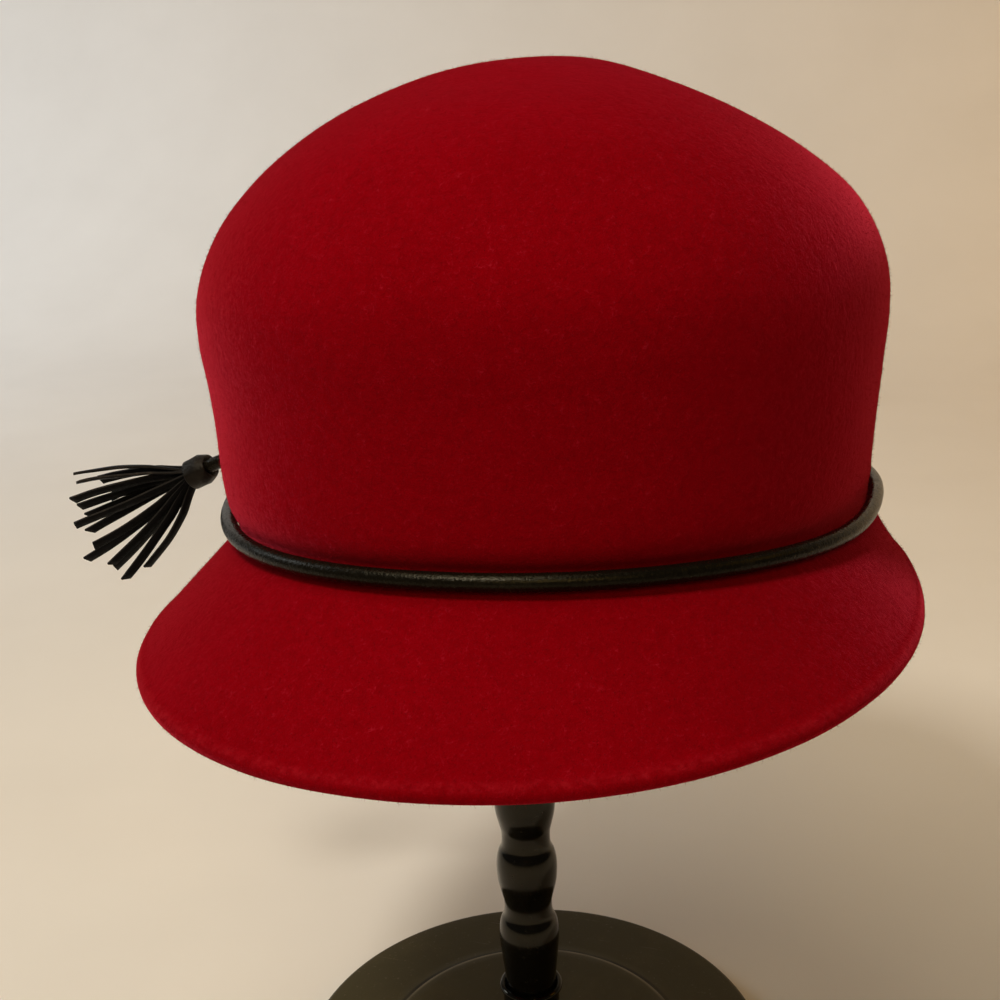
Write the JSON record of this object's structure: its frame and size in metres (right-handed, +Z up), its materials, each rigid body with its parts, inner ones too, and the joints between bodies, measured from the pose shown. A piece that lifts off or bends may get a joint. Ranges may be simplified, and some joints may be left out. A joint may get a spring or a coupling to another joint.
{
  "type": "cloche hat on a turned hat stand",
  "caption": "Blocked felt cloche hat with a short turned-down brim, a round leather cord band and a cut leather tassel, resting on a black turned hat stand with a round base.",
  "frame": {"origin": "centre of the underside of the stand's base disc", "axes": "+Z up along the stand's axis; -Y the way the front of the hat looks; +X the wearer's left, so the tassel lies towards -X"},
  "size_m": [0.2672, 0.2475, 0.3149],
  "materials": {
    "red_felt": "matt wool felt with a short soft nap",
    "black_cord_leather": "smooth leather with a low sheen",
    "black_strip_leather": "cut leather strips, dull with raw edges",
    "black_lacquer": "turned wood in high gloss black lacquer",
    "satin_black": "turned wood in worn satin black-brown lacquer"
  },
  "bodies": {
    "root": {"felt_body": "red_felt", "band_cord": "black_cord_leather", "tassel_wrap": "black_cord_leather", "tassel_fringe": "black_strip_leather", "stand_head": "black_lacquer", "stand_post": "black_lacquer", "stand_collar": "black_lacquer", "stand_base": "satin_black"}
  },
  "joints": []
}
